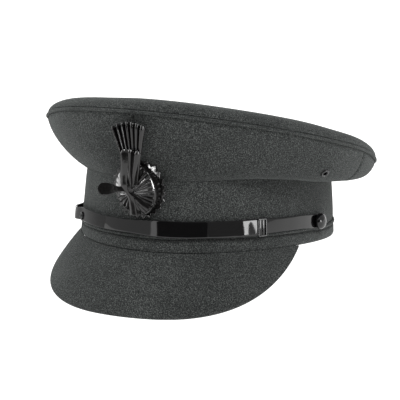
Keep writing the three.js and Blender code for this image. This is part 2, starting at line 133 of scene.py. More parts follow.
# The studio: turn and rise in degrees from the cap's front; distance, width and height in metres; then a
# card's grey and slant, or a light's power
STUDIO_AIM = Vector((0, 0, 0.06))
CARDS = {"dark_card": (17.5, 12, 1.0, 0.9, 0.62, 0.05),
         "grey_card": (57.5, 12, 1.0, 0.56, 0.62, 0.22),
         "low_card": (-12, -15.6, 0.182, 0.08, 0.05, 0.2),
         "side_card": (-90, -3.1, 0.184, 0.28, 0.1, 0.45),
         "arch_card": (78, -4.7, 0.9, 0.107, 0.294, 0.5, 0.5)}
GLINTS = {"strip_softbox": (82, 3.8, 1.0, 0.33, 0.3, 3.4),
          "front_strip": (-10, 12, 1.0, 0.1, 0.6, 0.25)}
SOFTBOXES = {"key_softbox": (60, 50, 1.1, 0.3, 0.3, 6),
             "fill_softbox": (-80, 30, 1.4, 0.7, 0.7, 11)}


# Small helpers for working on one piece at a time

def only(piece):
    if bpy.context.object and bpy.context.object.mode != "OBJECT":
        bpy.ops.object.mode_set(mode="OBJECT")
    bpy.ops.object.select_all(action="DESELECT")
    piece.select_set(True)
    bpy.context.view_layer.objects.active = piece


def new_piece(name):
    piece = bpy.context.object
    piece.name = name
    piece.data.name = name
    only(piece)
    return piece


def open_mesh(piece, select="DESELECT"):
    only(piece)
    bpy.ops.object.mode_set(mode="EDIT")
    bpy.ops.mesh.select_mode(type="VERT")
    bpy.ops.mesh.select_all(action=select)


def close_mesh():
    bpy.ops.object.mode_set(mode="OBJECT")


def pick(piece, test):
    mesh = bmesh.from_edit_mesh(piece.data)
    for corner in mesh.verts:
        corner.select_set(bool(test(corner.co)))
    mesh.select_flush(True)
    bmesh.update_edit_mesh(piece.data)


def merge(piece, distance=1e-6):
    open_mesh(piece, "SELECT")
    bpy.ops.mesh.remove_doubles(threshold=distance)
    close_mesh()


def face_outwards(piece):
    open_mesh(piece, "SELECT")
    bpy.ops.mesh.normals_make_consistent(inside=False)
    close_mesh()


def work(piece, kind, **settings):
    only(piece)
    modifier = piece.modifiers.new(kind.lower(), kind)
    for key, value in settings.items():
        setattr(modifier, key, value)
    bpy.ops.object.modifier_apply(modifier=modifier.name)


def thicken(piece, wall):
    work(piece, "SOLIDIFY", thickness=wall * MM, offset=-1, use_even_offset=True)


def soften(piece, width, segments=3, angle=50):
    work(piece, "BEVEL", width=width * MM, segments=segments, limit_method="ANGLE",
         angle_limit=math.radians(angle))


def smooth(piece, levels=1):
    work(piece, "SUBSURF", levels=levels, render_levels=levels)


def place(piece, matrix):
    only(piece)
    piece.matrix_world = matrix @ piece.matrix_world
    bpy.ops.object.transform_apply(location=True, rotation=True, scale=True)


def press_on_table(piece):
    open_mesh(piece)
    pick(piece, lambda co: co.z < 0)
    bpy.ops.transform.resize(value=(1, 1, 0), center_override=(0, 0, 0))
    close_mesh()


def join(piece, *others):
    only(piece)
    for other in others:
        other.select_set(True)
    bpy.ops.object.join()


def hand_over(piece, finish, slot, *nodes, angle=60):
    only(piece)
    bpy.ops.object.shade_smooth_by_angle(angle=math.radians(angle))
    piece.data.materials.clear()
    piece.data.materials.append(finish)
    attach(piece, "root")
    if nodes:
        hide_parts(*nodes)
    return piece


# Values

def lerp(a, b, share):
    return a + (b - a) * share


def ease(value, low, high):
    share = min(1, max(0, (value - low) / (high - low)))
    return share * share * (3 - 2 * share)


def steps(start, end, count):
    return [lerp(start, end, i / count) for i in range(count + 1)]


def paced(start, end, count, near):
    """Even steps from start to end, with closer ones at both ends."""
    inner = steps(start + near[-1], end - near[-1], count)
    return [start, *[start + d for d in near[:-1]], *inner, *[end - d for d in near[-2::-1]], end]


# Shaders: signs between sockets add Math nodes, and any other node comes from Finish.node

class Wire:
    def __init__(self, finish, socket):
        self.finish = finish
        self.socket = socket

    def maths(self, sign, first, second):
        return self.finish.node("Math", {"operation": sign}, {0: first, 1: second})

    def __add__(self, other):
        return self.maths("ADD", self, other)

    def __sub__(self, other):
        return self.maths("SUBTRACT", self, other)

    def __mul__(self, other):
        return self.maths("MULTIPLY", self, other)

    def __radd__(self, other):
        return self.maths("ADD", other, self)

    def top(self, other):
        return self.maths("MAXIMUM", self, other)


class Finish:
    def __init__(self, name):
        self.material = bpy.data.materials.new(name)
        self.material.use_nodes = True
        self.tree = self.material.node_tree
        self.shader = self.tree.nodes["Principled BSDF"]

    def node(self, kind, settings, values, out=0):
        made = self.tree.nodes.new("ShaderNode" + kind)
        for key, value in settings.items():
            if key == "stops":
                self.set_stops(made.color_ramp, value)
            else:
                setattr(made, key, value)
        for key, value in values.items():
            self.feed(made.inputs[key], value)
        return Wire(self, made.outputs[out])

    def set_stops(self, ramp, stops):
        while len(ramp.elements) < len(stops):
            ramp.elements.new(0.5)
        for element, (at, colour) in zip(ramp.elements, stops):
            element.position = at
            element.color = (*colour, 1)

    def feed(self, socket, value):
        if isinstance(value, Wire):
            self.tree.links.new(value.socket, socket)
        else:
            socket.default_value = value

    def surface(self, **values):
        for key, value in values.items():
            self.feed(self.shader.inputs[key.replace("_", " ")], value)
        return self.material

    def place_mm(self):
        where = self.node("TexCoord", {}, {}, "Object")
        return self.node("VectorMath", {"operation": "SCALE"}, {0: where, "Scale": 1 / MM})

    def turned(self, where, turn, scale):
        angles = tuple(math.radians(a) for a in turn)
        return self.node("Mapping", {}, {"Vector": where, "Rotation": angles, "Scale": scale})

    def grain(self, where, scale, detail=2, rough=0.5):
        return self.node("TexNoise", {}, {"Vector": where, "Scale": scale, "Detail": detail,
                                          "Roughness": rough})

    def spread(self, value, low, high):
        return self.node("MapRange", {}, {"Value": value, "From Min": low, "From Max": high})

    def blend(self, share, first, second):
        return self.node("Mix", {"data_type": "RGBA"}, {0: share, 6: first, 7: second}, 2)

    def bump(self, height, distance, strength):
        return self.node("Bump", {}, {"Height": height, "Distance": distance * MM, "Strength": strength})


def wool_cloth():
    finish = Finish("wool_cloth")
    where = finish.place_mm()
    fleck = finish.grain(where, 1.5, 3, 0.65)
    strands = [finish.spread(finish.grain(finish.turned(where, turn, scale), 1.6, 1), 0.55, 0.73)
               for turn, scale in STRAND_WAYS]
    strand = strands[0].top(strands[1]).top(strands[2])
    cloud = finish.grain(where, 0.03, 2)
    tone = finish.spread(fleck, 0.365, 0.655) * 0.85 + strand * 0.25 + (cloud - 0.5) * 0.25
    ramp = finish.node("ValToRGB", {"stops": WOOL_TONES}, {"Fac": tone})
    nap = finish.grain(where, 2.6, 2, 0.6)
    height = fleck * 0.6 + strand * 0.5 + nap * 0.5
    return finish.surface(Base_Color=ramp, Roughness=0.92 + (nap - 0.5) * 0.12, Specular_IOR_Level=0.2,
                          Sheen_Weight=0.14, Sheen_Roughness=0.4, Sheen_Tint=(0.86, 0.92, 0.90, 1),
                          Normal=finish.bump(height, 0.35, 0.7))


def patent_leather():
    finish = Finish("patent_leather")
    where = finish.place_mm()
    sway = finish.grain(where, 0.07, 1)
    pore = finish.grain(where, 1.4, 2)
    smear = finish.grain(where, 0.25, 3)
    colour = finish.blend(smear, (0.0009, 0.0009, 0.001, 1), (0.0022, 0.0021, 0.0023, 1))
    height = sway * 1.6 + pore * 0.02
    return finish.surface(Base_Color=colour, Roughness=0.025 + smear * 0.05,
                          Normal=finish.bump(height, 0.5, 0.35))


def cockade_leather():
    finish = Finish("cockade_leather")
    where = finish.place_mm()
    crease = finish.grain(where, 0.32, 2, 0.55)
    pore = finish.grain(where, 2.2, 2)
    smear = finish.grain(where, 0.3, 3)
    colour = finish.blend(smear, (0.0016, 0.0015, 0.0015, 1), (0.005, 0.0046, 0.0046, 1))
    height = crease * 1.2 + pore * 0.04
    return finish.surface(Base_Color=colour, Roughness=0.1 + smear * 0.12,
                          Normal=finish.bump(height, 0.5, 0.22))


def black_gloss():
    finish = Finish("black_gloss")
    where = finish.place_mm()
    wear = finish.grain(where, 0.8, 3)
    colour = finish.blend(wear, (0.001, 0.001, 0.0012, 1), (0.004, 0.004, 0.0045, 1))
    return finish.surface(Base_Color=colour, Roughness=0.04 + wear * 0.08,
                          Normal=finish.bump(finish.grain(where, 0.5, 2), 0.15, 0.4))


# The cap's surfaces

def signed(angle):
    """The same angle between -180 and 180, positive on the wearer's left."""
    return (angle + 180) % 360 - 180


def changed(angle, rows):
    """The sum of the changes in a table's rows that an angle has passed."""
    return sum(change * ease(angle, start, end) for start, end, change in rows)


def outward_of(angle):
    t = math.radians(angle)
    return Vector((math.sin(t) / RIM["width"], -math.cos(t) / RIM["length"], 0)).normalized()


def foot_rise(angle):
    """How far the rim is cut higher at the cap's sides."""
    turn = abs(signed(angle))
    if turn > FOOT_RISE["ends"]:
        return 0
    return FOOT_RISE["height"] * math.sin(math.pi * turn / FOOT_RISE["ends"]) ** 2


def band_lift(angle):
    """How much higher the band meets the crown on the wearer's left, or lower on the right."""
    right = -signed(angle)
    drop = BAND_DROP * ease(right, 30, 55) * (1 - ease(right, 110, 150))
    return BAND_LIFT * ease(angle, 15, 50) * (1 - ease(angle, 64, 86)) - drop


def piping_lift(angle):
    """How much higher the band's piping runs on the wearer's left."""
    return PIPING_LIFT * ease(angle, 10, 32) * (1 - ease(angle, 80, 100))


def on_band(angle, height, standoff=0):
    t = math.radians(angle)
    height += foot_rise(angle) * max(0, 1 - height / FOOT_HEIGHT)
    shrink = BAND["lean"] * height / BAND["height"]
    oval = Vector(((RIM["width"] - shrink) * math.sin(t), -(RIM["length"] - shrink) * math.cos(t), height))
    return oval + outward_of(angle) * standoff


WELT_TILT = math.radians(WELT["tilt"])
WELT_CENTRE = Vector((0, WELT["back"], WELT["height"]))
WELT_UP = Vector((0, math.sin(WELT_TILT), math.cos(WELT_TILT)))


def from_welt_centre(angle):
    t = math.radians(angle)
    along = -WELT["length"] * math.cos(t)
    return Vector((WELT["width"] * math.sin(t), along * math.cos(WELT_TILT), -along * math.sin(WELT_TILT)))


def welt_at(angle, share=1):
    """A place on the crown's edge or further in. The edge hangs at the back and the wearer's right."""
    around = signed(angle)
    turn = abs(around)
    hang = max(HANG["back"] * ease(turn, 88, 120), HANG["right"] * ease(-around, 33, 62))
    spot = WELT_CENTRE + from_welt_centre(angle) * share
    spot.z -= hang * (1 - ease(turn, 140, 180)) * share ** 6
    return spot


def on_top(angle, v):
    share = TOP["edge"] * (1 - v)
    around = signed(angle)
    swell = 1 + TOP["front_swell"] * share * math.cos(math.radians(angle))
    sunk = TOP["sink"] * (ease(-around, 0, 18) + ease(around, 60, 80))
    rise = (TOP["rise"] * swell - sunk * share) * (1 - share ** TOP["power"]) ** TOP["shoulder"]
    return welt_at(angle, share) + WELT_UP * rise


def round_bow(key, angle):
    """How the crown's side bows: it hangs full on the wearer's left and stays straight on the right."""
    c = math.cos(math.radians(angle))
    front, side, back = BOW[key]
    bow = side + (front - back) / 2 * c + ((front + back) / 2 - side) * c * c
    right = -signed(angle)
    return lerp(bow, RIGHT_BOW[key], ease(right, 8, 45) * (1 - ease(right, 110, 165)))


def on_side(angle, v):
    low = on_band(angle, BAND["height"] + band_lift(angle))
    high = welt_at(angle)
    control = low.lerp(high, round_bow("share", angle))
    control.z = low.z + round_bow("height", angle)
    t = v * (1 - CROWN_CORD["seat"] / (2 * (high - control).length))
    return low * (1 - t) ** 2 + control * (2 * t * (1 - t)) + high * t * t


def peak_edge(u):
    front = Vector((0, -RIM["length"] - PEAK["reach"], -PEAK["drop"]))
    end = on_band(PEAK["end_angle"], 0)
    pulled = Vector((PEAK_EDGE["front_pull"], front.y, front.z))
    slanted = end + Vector(PEAK_EDGE["end_slant"]).normalized() * PEAK_EDGE["end_pull"]
    slanted.z -= foot_rise(PEAK["end_angle"])
    t = abs(u)
    spot = (front * (1 - t) ** 3 + pulled * (3 * t * (1 - t) ** 2) + slanted * (3 * t * t * (1 - t))
            + end * t ** 3)
    spot.x *= -1 if u < 0 else 1
    return spot


def on_peak(u, v):
    rim = on_band(u * PEAK["end_angle"], 0)
    rim.z -= lerp(GAP, -0.1, ease(abs(u), 0.35, 0.6))
    spot = peak_edge(u).lerp(rim, v)
    spot.z += PEAK["bulge"] * 4 * v * (1 - v) * math.cos(u * math.pi / 2)
    return spot


def normal_at(surface, u, v):
    step = 1e-3
    top = min(v, 0.99)
    around = surface(u + step, top) - surface(u - step, top)
    up = surface(u, top + step) - surface(u, top - step)
    return around.cross(up).normalized()


def draped(name, surface, along, across):
    """A grid whose crossings are laid on a surface."""
    bpy.ops.object.select_all(action="DESELECT")
    columns, rows = len(along) - 1, len(across) - 1
    bpy.ops.mesh.primitive_grid_add(x_subdivisions=columns, y_subdivisions=rows, size=2)
    piece = new_piece(name)
    for corner in piece.data.vertices:
        u = along[round((corner.co.x + 1) / 2 * columns)]
        v = across[round((corner.co.y + 1) / 2 * rows)]
        corner.co = surface(u, v) * MM
    merge(piece)
    return piece


def ripple(spot, reach, depth):
    return noise.noise(spot / reach) * depth


NEAR = (0.3, 0.8, 1.5, 2.6, 4.2)


def tuck(distance, depth, width=1.3):
    """How far cloth is drawn in at a distance from its seam."""
    return depth * math.exp(-(distance / width) ** 2)


# Cloth pieces

def crown_top(finish):
    def surface(angle, v):
        spot = on_top(angle, v)
        calm = ease(v, 0.02, 0.25)
        spot -= from_welt_centre(angle).normalized() * tuck(v * TOP["out"], TUCK["top"])
        return spot + WELT_UP * ripple(spot, *RIPPLE["top"]) * calm

    edge = [0, 0.004, 0.01, 0.02, 0.034, 0.052, 0.075, 0.1, 0.14, 0.2, 0.3, 0.42, 0.56, 0.7, 0.85, 1]
    piece = draped("crown_top_cloth", surface, steps(0, 360, 144), edge)
    thicken(piece, TOP["wall"])
    soften(piece, 0.7)
    place(piece, REST)
    return hand_over(piece, finish, "wool_cloth", "crown_top")


def quarter(finish, node, start, end, eyelet=None):
    seam = math.degrees(SIDE["seam_gap"] / 2 / WELT["width"])
    per_mm = math.degrees(1 / SIDE["out"])
    tall = 1 / SIDE["tall"]
    start, end = start + seam, end - seam

    def surface(angle, v):
        spot = on_side(angle, v)
        spot.z -= 0.25 * (1 - ease(v, 0, 0.1))
        out = normal_at(on_side, angle, v)
        ends = sum(tuck(away / per_mm, TUCK["side_ends"]) for away in (angle - start, end - angle))
        rims = tuck(v / tall, TUCK["side_low"]) + tuck((1 - v) / tall, TUCK["side_high"])
        inside = ease(v, 0, 0.2) * ease(1 - v, 0, 0.2)
        return spot + out * (ripple(spot, *RIPPLE["side"]) * inside - max(ends, rims))

    along = paced(start, end, round((end - start) / 2.2), [d * per_mm for d in NEAR])
    across = paced(0, 1, 10, [d * tall for d in NEAR])
    piece = draped(node + "_cloth", surface, along, across)
    thicken(piece, SIDE["wall"])
    soften(piece, 0.12)
    if eyelet is not None:
        bore(piece, eyelet)
    place(piece, REST)
    return hand_over(piece, finish, "wool_cloth", node, angle=75)


def bore(piece, angle):
    spot = on_side(angle, EYELET["along"])
    out = normal_at(on_side, angle, EYELET["along"])
    only(piece)
    bpy.ops.mesh.primitive_cylinder_add(vertices=32, radius=(EYELET["hole"] + EYELET["barrel"] + 0.1) * MM,
                                        depth=12 * MM, location=spot * MM,
                                        rotation=out.to_track_quat("Z", "Y").to_euler())
    drill = new_piece("vent_drill")
    work(piece, "BOOLEAN", operation="DIFFERENCE", object=drill, solver="EXACT")
    bpy.data.objects.remove(drill)


def level(angle):
    """An edge that is neither lifted nor lowered."""
    return 0


def band_ring(finish, name, node, low, high, rolls, low_lift=level, high_lift=level):
    tall = 1 / (high - low)
    roll_low, roll_high = rolls

    def surface(angle, v):
        spot = on_band(angle, lerp(low + low_lift(angle), high + high_lift(angle), v))
        inside = ease(v, 0, 0.25) * ease(1 - v, 0, 0.25)
        dip = max(tuck(v / tall, roll_low, 0.9), tuck((1 - v) / tall, roll_high, 0.9))
        return spot + outward_of(angle) * (ripple(spot, *RIPPLE["band"]) * inside - dip)

    piece = draped(name, surface, steps(0, 360, 144), paced(0, 1, 6, [d * tall for d in NEAR[:3]]))
    thicken(piece, BAND["wall"])
    soften(piece, 0.12)
    place(piece, REST)
    press_on_table(piece)
    return hand_over(piece, finish, "wool_cloth", node)


def tape(name, along, low, high, lift=level):
    """A flat strip of cloth sewn in behind the band's wall, where it backs a seam."""
    back = -BAND["wall"] - 0.25
    strip = draped(name, lambda angle, v: on_band(angle, lerp(low, high, v) + lift(angle), back), along,
                   steps(0, 1, 3))
    thicken(strip, 0.8)
    return strip


def thin_ends(piece, ends, reach):
    """Weights a sheet for its full thickness, less and less towards its end points."""
    group = piece.vertex_groups.new(name="full")
    for corner in piece.data.vertices:
        near = min((corner.co / MM - end).length for end in ends)
        group.add([corner.index], ease(near, 0, reach), "REPLACE")


def peak_sheet(finish):
    def surface(u, v):
        spot = on_peak(u, v)
        calm = ease(v, 0, 0.3) * ease(1 - v, 0, 0.2)
        return spot + normal_at(on_peak, u, v) * ripple(spot, *RIPPLE["peak"]) * calm

    across = [-0.012, 0.012, 0.05, 0.12, 0.22, 0.35, 0.5, 0.65, 0.8, 0.92, 0.99, 1.006]
    piece = draped("peak_cloth", surface, steps(-PEAK["taper"], PEAK["taper"], 72), across)
    thin_ends(piece, [on_band(side * PEAK["end_angle"], 0) for side in (-1, 1)], 26)
    work(piece, "SOLIDIFY", thickness=PEAK["wall"] * MM, offset=-1, use_even_offset=True,
         vertex_group="full", thickness_vertex_group=0.3)
    smooth(piece, 2)
    sewn_in = tape("peak_tape", steps(-PEAK["end_angle"], PEAK["end_angle"], 72), -3, 4)
    join(piece, sewn_in)
    place(piece, REST)
    press_on_table(piece)
    return hand_over(piece, finish, "wool_cloth", "peak")


def corded(name, spot_at, radius, count=160):
    """A round cord along one closed line, made by a curve's own bevel and turned into a mesh."""
    bpy.ops.object.select_all(action="DESELECT")
    bpy.ops.curve.primitive_nurbs_circle_add(radius=1)
    cord = bpy.context.object
    cord.data.splines.clear()
    line = cord.data.splines.new("POLY")
    line.points.add(count - 1)
    for i, point in enumerate(line.points):
        point.co = (*(spot_at(360 * i / count) * MM), 1)
    line.use_cyclic_u = True
    cord.data.bevel_depth = radius * MM
    cord.data.bevel_resolution = 3
    bpy.ops.object.convert(target="MESH")
    piece = new_piece(name)
    merge(piece)
    face_outwards(piece)
    return piece


def piping(finish, name, node, spot_at, radius, backing=None):
    piece = corded(name, spot_at, radius)
    if backing:
        join(piece, tape(name + "_tape", steps(0, 360, 144), *backing))
    place(piece, REST)
    return hand_over(piece, finish, "wool_cloth", node)


# Strap, slides, buttons and eyelets

def over_standoff(angle):
    """How far the over strap stands off the band: on the under strap, then down on the band itself."""
    down = ease(angle, OVER_STRAP["drop_from"], OVER_STRAP["drop_to"])
    loop = OVER_STRAP["loop_rise"] * ease(angle, OVER_STRAP["loop_from"], OVER_STRAP["loop_to"])
    bulge = STRAP_BULGE["rise"] * ease(angle, STRAP_BULGE["from"], STRAP_BULGE["to"]) * (1 - down)
    return lerp(STRAP["over"], STRAP["under"], down) + loop + bulge


def strap_height(angle):
    """The strap climbs towards the wearer's left and drops again at its ends."""
    return STRAP["height"] + changed(angle, STRAP_CLIMB)


def width_at(angle):
    """The strap is widest at the front, and narrower on both sides."""
    return STRAP["width"] + changed(angle, STRAP_NARROWING)


def hidden_width_at(angle):
    """Where the under strap lies beneath the other, it is narrower."""
    return width_at(angle) + changed(angle, HIDDEN_NARROWING)


def strap(finish, name, node, ends, standoff_at, wide_at, loop_from=None, stud_at=None):
    def surface(angle, v):
        crown = 0.12
        if loop_from is not None:
            crown += 0.05 * ease(angle, loop_from, loop_from + 1.5)
        rise = standoff_at(angle) + crown * (1 - (2 * v - 1) ** 2) - crown
        spot = on_band(angle, strap_height(angle) + (v - 0.5) * wide_at(angle), rise)
        return spot + outward_of(angle) * ripple(spot, *RIPPLE["strap"])

    piece = draped(name, surface, steps(ends["from"], ends["to"], 200), steps(0, 1, 10))
    thicken(piece, STRAP["wall"] - 0.15)
    soften(piece, 0.3)
    place(piece, REST)
    if stud_at is not None:
        join(piece, strap_stud(stud_at))
    return hand_over(piece, finish, "patent_leather", node)


def strap_stud(angle):
    """A small round stud on the strap's face."""
    radius = STUD["radius"]
    inner, groove = radius - 1.2, 0.4
    rings = [(0.3, -0.2), (radius, -0.2), (radius, 0.5), (radius - 0.35, 0.9), (radius - 0.9, 0.9),
             (inner, groove)]
    dome = [(inner * math.cos(a), groove + STUD["rise"] * math.sin(a))
            for a in steps(0, math.pi / 2 - 0.1, 6)[1:]]
    piece = turned("strap_stud", rings + dome, 32)
    close_ends(piece)
    place(piece, seat_on_band(angle, over_standoff(angle), STUD["below"]))
    return piece


def seat_on_band(angle, standoff, below=0):
    """A place on the leaning band, at the strap or below it: X runs round it, Y up and Z out."""
    out = outward_of(angle)
    out.z = BAND["lean"] / BAND["height"]
    out.normalize()
    around = Vector((0, 0, 1)).cross(out).normalized()
    up = out.cross(around)
    turn = Matrix((around, up, out)).transposed().to_4x4()
    return REST @ Matrix.Translation(on_band(angle, strap_height(angle) - below, standoff) * MM) @ turn


def slide(finish, node, angle, standoff, tall=1):
    """A black frame, with the strap's rolled end showing in its window."""
    bpy.ops.object.select_all(action="DESELECT")
    bpy.ops.mesh.primitive_plane_add(size=1)
    piece = new_piece(node + "_frame")
    open_mesh(piece, "SELECT")
    bpy.ops.transform.resize(value=(SLIDE["width"] * MM, SLIDE["height"] * MM, 1))
    bpy.ops.mesh.bevel(affect="VERTICES", offset=SLIDE["corner"] * MM, segments=4)
    bpy.ops.mesh.select_all(action="SELECT")
    bpy.ops.mesh.inset(thickness=SLIDE["rail"] * MM)
    half = SLIDE["width"] / 2
    bpy.ops.transform.resize(value=((half - SLIDE["bar"]) / (half - SLIDE["rail"]), 1, 1))
    bpy.ops.mesh.delete(type="FACE")
    bpy.ops.mesh.select_all(action="SELECT")
    bpy.ops.mesh.extrude_region_move(TRANSFORM_OT_translate={"value": (0, 0, SLIDE["depth"] * MM)})
    close_mesh()
    face_outwards(piece)
    soften(piece, 0.4, segments=4)
    join(piece, *[rolled_bar(node + "_bar", across) for across in SLIDE["rolls"]])
    place(piece, seat_on_band(angle, standoff, SLIDE["below"]) @ Matrix.Scale(tall, 4, (0, 1, 0)))
    return hand_over(piece, finish, "black_gloss", node)


def rolled_bar(name, across):
    """A rounded upright bar in a slide's window."""
    bpy.ops.object.select_all(action="DESELECT")
    tall = SLIDE["height"] - 2 * SLIDE["rail"]
    bpy.ops.mesh.primitive_cylinder_add(vertices=20, radius=SLIDE["roll"] * MM, depth=tall * MM,
                                        rotation=(math.pi / 2, 0, 0))
    bar = new_piece(name)
    bpy.ops.object.transform_apply(location=True, rotation=True, scale=True)
    bar.scale.z = 0.3
    bar.location = (across * MM, 0, SLIDE["roll_height"] * MM)
    bpy.ops.object.transform_apply(location=True, rotation=True, scale=True)
    soften(bar, 0.3)
    return bar


def turned(name, rings, sides=48):
    """A round piece: a circle drawn through rings of (radius, height)."""
    bpy.ops.object.select_all(action="DESELECT")
    radius, height = rings[0]
    bpy.ops.mesh.primitive_circle_add(vertices=sides, radius=radius * MM, location=(0, 0, height * MM))
    piece = new_piece(name)
    bpy.ops.object.transform_apply(location=True, rotation=True, scale=True)
    open_mesh(piece, "SELECT")
    for reach, lift in rings[1:]:
        bpy.ops.mesh.extrude_region_move(TRANSFORM_OT_translate={"value": (0, 0, (lift - height) * MM)})
        bpy.ops.transform.resize(value=(reach / radius, reach / radius, 1), center_override=(0, 0, 0))
        radius, height = reach, lift
    close_mesh()
    return piece


def close_ends(piece):
    open_mesh(piece)
    bpy.ops.mesh.select_non_manifold()
    bpy.ops.mesh.fill()
    close_mesh()
    face_outwards(piece)


def side_button(finish, node, angle):
    radius, rise, edge = BUTTON["radius"], BUTTON["rise"], BUTTON["edge"]
    foot = [(0.4, 0), (radius - edge, 0), (radius - 0.3, 0.35), (radius, edge)]
    dome = [(radius * math.cos(a), edge + rise * math.sin(a)) for a in steps(0, math.pi / 2 - 0.05, 14)[1:]]
    piece = turned(node + "_dome", foot + dome)
    close_ends(piece)
    place(piece, seat_on_band(angle, STRAP["under"] + GAP))
    return hand_over(piece, finish, "black_gloss", node)


def vent_eyelet(finish, node, angle):
    hole, radius, lift, flange = EYELET["hole"], EYELET["radius"], EYELET["lift"], EYELET["flange"]
    outside = hole + EYELET["barrel"]
    foot = -SIDE["wall"] - GAP
    middle, half = (hole + radius) / 2, (radius - hole) / 2
    roll = [(middle + half * math.cos(a), lift + flange * math.sin(a)) for a in steps(0, math.pi, 12)]
    rings = [(hole, foot), (outside, foot), (outside, lift - 0.15), (radius - 0.2, lift - 0.15), *roll,
             (hole, foot)]
    piece = turned(node + "_ring", rings, 40)
    merge(piece)
    face_outwards(piece)
    spot = on_side(angle, EYELET["along"])
    out = normal_at(on_side, angle, EYELET["along"])
    turn = out.to_track_quat("Z", "Y").to_matrix().to_4x4()
    place(piece, REST @ Matrix.Translation(spot * MM) @ turn)
    return hand_over(piece, finish, "black_gloss", node)


# Cockade, in its own frame: X to the wearer's left, Y up, Z forward from the ring's back

def saw(turn, count):
    """A fold's height from 0 to 1 and back, count times in one turn of 1."""
    part = (turn * count) % 1
    return part / 0.62 if part < 0.62 else (1 - part) / 0.38


def pleat(turn, count, fullness=1):
    """A fold with a round ridge and a sharp valley. A fuller one has a broader ridge."""
    return math.sin(saw(turn, count) * math.pi / 2) ** (1 / fullness)


def round_badge(reach, turn, lift):
    t = math.radians(turn)
    return Vector((reach * math.cos(t), reach * math.sin(t), lift))


def pinked_ring(finish):
    teeth = RING["teeth"]

    def surface(turn, v):
        fold = saw(turn / 360, teeth)
        edge = RING["radius"] - RING["tooth"] * (1 - fold)
        reach = lerp(edge, RING["hole"], v)
        flare = ease(reach, RING["flat"], RING["radius"])
        bent = max(0, *[math.cos(math.radians(turn - bend)) for bend in RING_CURL["bends"]])
        wave = RING_CURL["wave"] * math.sin(math.radians(turn * RING_CURL["waves"]))
        curl = lerp(RING_CURL["rise"] + RING_CURL["tooth"] * fold, RING_CURL["bent"], bent) + wave
        return round_badge(reach, turn, RING["base"] + curl * flare)

    across = [0, 0.05, 0.12, 0.2, 0.35, 0.6, 1]
    piece = draped("cockade_pinked_ring", surface, steps(0, 360, teeth * 8), across)
    thicken(piece, RING["wall"])
    soften(piece, 0.3)
    place(piece, BADGE)
    return hand_over(piece, finish, "patent_leather", "cockade_ring", angle=50)


def rosette_rim(turn):
    """The rim's height, which rises on the wearer's left."""
    return ROSETTE["base"] + ROSETTE["wall"] + ROSETTE["lift"] * max(0, math.cos(math.radians(turn)))


def pleated_rosette(finish):
    """A pleated cup: a wall up from the ring to its rim, and pleats from the rim in to the knot."""
    pleats = ROSETTE["pleats"]
    wall_share = ROSETTE["wall_share"]

    def surface(turn, v):
        fold = 1 - pleat(turn / 360, pleats, 0.9)
        rim = rosette_rim(turn)
        if v < wall_share:
            part = v / wall_share
            drawn_in = ROSETTE["fold"] * fold * (1 - part) + ROSETTE["waist"] * math.sin(math.pi * part)
            reach = ROSETTE["radius"] - drawn_in
            lift = lerp(ROSETTE["base"], rim, part)
        else:
            share = (1 - v) / (1 - wall_share)
            reach = share * ROSETTE["radius"]
            top = lerp(rim, ROSETTE["apex"], (1 - share * share) ** ROSETTE["fullness"])
            lift = top - ROSETTE["depth"] * fold * share * ease(1 - share, 0.0, 0.12)
        return round_badge(reach, turn, lift)

    inward = [0.01, 0.03, 0.06, 0.1, 0.16, 0.25, 0.36, 0.5, 0.65, 0.8, 0.92, 0.97]
    across = steps(0, wall_share, 6) + [lerp(wall_share, 1, part) for part in inward]
    piece = draped("cockade_pleated_rosette", surface, steps(0, 360, pleats * 8), across)
    thicken(piece, ROSETTE["wall"])
    soften(piece, 0.28, angle=30)
    rim_reach = ROSETTE["radius"] - ROSETTE["cord_inset"]
    join(piece, corded("rosette_rim", lambda turn: round_badge(rim_reach, turn, rosette_rim(turn)),
                       ROSETTE["cord"], 120))
    place(piece, BADGE)
    return hand_over(piece, finish, "patent_leather", "cockade_rosette", angle=35)


def pleated_fan(finish, name, node, size):
    pleats = size["pleats"]
    foot = Matrix.Translation((size["across"], size["foot"], 0))
    lean = foot @ Matrix.Rotation(math.radians(size["turn"]), 4, "Z")

    def surface(u, v):
        part = (u + 1) / 2
        fold = pleat(part, pleats, lerp(*size["fullness"], ease(u, -0.3, 0.5)))
        notch = size["notch"] * (1 - fold) * v ** 5
        tip = size["tip"] - size["foot"] - size["droop"] * u * u - notch
        deep = lerp(size["pleat_foot"], size["pleat_tip"], v)
        rolled = 1.3 * max(0, (v - 0.9) / 0.1) ** 2
        forward = lerp(size["foot_depth"], size["depth"], ease(v, 0, 0.4))
        spot = Vector((u * lerp(size["foot_half"], size["tip_half"], v), tip * v,
                       forward + deep * (2 * fold - 1) - rolled))
        return lean @ spot

    across = [0, 0.15, 0.3, 0.45, 0.6, 0.72, 0.82, 0.9, 0.93, 0.96, 0.98, 1]
    piece = draped(name, surface, steps(-1, 1, pleats * 12), across)
    thicken(piece, size["wall"])
    soften(piece, 0.18, segments=2, angle=60)
    place(piece, BADGE)
    return hand_over(piece, finish, "patent_leather", node, angle=40)


def through(rows, key, u):
    """A value that runs smoothly through a table's rows, with u from 0 to 1."""
    at = u * (len(rows) - 1)
    row = min(int(at), len(rows) - 2)
    t = at - row
    a, b, c, d = (rows[min(max(row + i, 0), len(rows) - 1)][key] for i in (-1, 0, 1, 2))
    return b + 0.5 * t * (c - a + t * (2 * a - 5 * b + 4 * c - d + t * (3 * (b - c) + d - a)))


def ribbon(name, line, half_at, shape):
    """A strip of leather along a line of (place, direction across, direction out)."""
    def surface(u, v):
        spot, across, out = line(u)
        aside, rise, lift = shape(u, v)
        return spot + across * (half_at(u) * v + aside) + Vector((0, rise, 0)) + out * lift

    piece = draped(name, surface, steps(0, 1, 48), steps(-1, 1, 10))
    thicken(piece, 1.0)
    soften(piece, 0.3, angle=60)
    return piece


